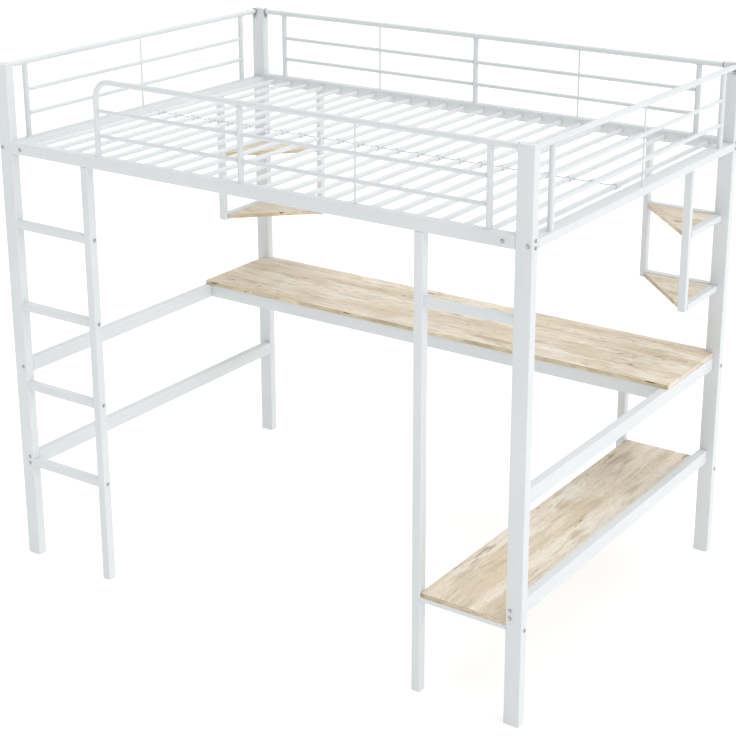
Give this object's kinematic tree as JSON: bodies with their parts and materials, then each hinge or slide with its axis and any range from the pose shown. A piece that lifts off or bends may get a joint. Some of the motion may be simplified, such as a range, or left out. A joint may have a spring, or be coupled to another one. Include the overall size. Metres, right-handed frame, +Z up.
{
  "type": "loft bed with desk",
  "caption": "Metal loft bed with an end ladder, round-tube guards, a slatted deck, a wide desk, a low end shelf and corner shelves.",
  "frame": {"origin": "centre of the footprint, on the floor", "axes": "+X along the bed to its low shelf, +Y from the ladder side to the desk side, +Z up"},
  "size_m": [2.0086, 1.3836, 1.754],
  "materials": {
    "frame_steel": "white powder coat, satin",
    "board_wood": "washed oak print on board, matt",
    "strap_plastic": "moulded, matt",
    "bolt_steel": "zinc plated, satin"
  },
  "bodies": {
    "root": {"post_front_left": "frame_steel", "post_back_left": "frame_steel", "post_front_right": "frame_steel", "post_back_right": "frame_steel", "deck_rail_front": "frame_steel", "deck_rail_back": "frame_steel", "deck_rail_left": "frame_steel", "deck_rail_right": "frame_steel", "middle_rail_left": "frame_steel", "middle_rail_right": "frame_steel", "lower_rail_left": "frame_steel", "lower_rail_right": "frame_steel", "desk_rail_front": "frame_steel", "desk_rail_back": "frame_steel", "ladder_stile": "frame_steel", "ladder_rung_1": "frame_steel", "ladder_rung_2": "frame_steel", "ladder_rung_3": "frame_steel", "ladder_rung_4": "frame_steel", "shelf_frame_front": "frame_steel", "shelf_frame_back": "frame_steel", "guard_front": "frame_steel", "guard_back": "frame_steel", "guard_left": "frame_steel", "guard_right": "frame_steel", "slat_01": "frame_steel", "slat_02": "frame_steel", "slat_03": "frame_steel", "slat_04": "frame_steel", "slat_05": "frame_steel", "slat_06": "frame_steel", "slat_07": "frame_steel", "slat_08": "frame_steel", "slat_09": "frame_steel", "slat_10": "frame_steel", "slat_11": "frame_steel", "slat_12": "frame_steel", "slat_13": "frame_steel", "slat_14": "frame_steel", "slat_15": "frame_steel", "slat_16": "frame_steel", "slat_17": "frame_steel", "slat_18": "frame_steel", "slat_19": "frame_steel", "slat_20": "frame_steel", "slat_21": "frame_steel", "slat_22": "frame_steel", "slat_23": "frame_steel", "slat_24": "frame_steel", "corner_frame_back_left": "frame_steel", "corner_frame_back_right": "frame_steel", "corner_frame_end_left": "frame_steel", "corner_frame_end_right": "frame_steel", "desk_top": "board_wood", "low_shelf": "board_wood", "corner_board_upper_left": "board_wood", "corner_board_upper_right": "board_wood", "corner_board_lower_left": "board_wood", "corner_board_lower_right": "board_wood", "slat_strap": "strap_plastic"}
  },
  "joints": []
}
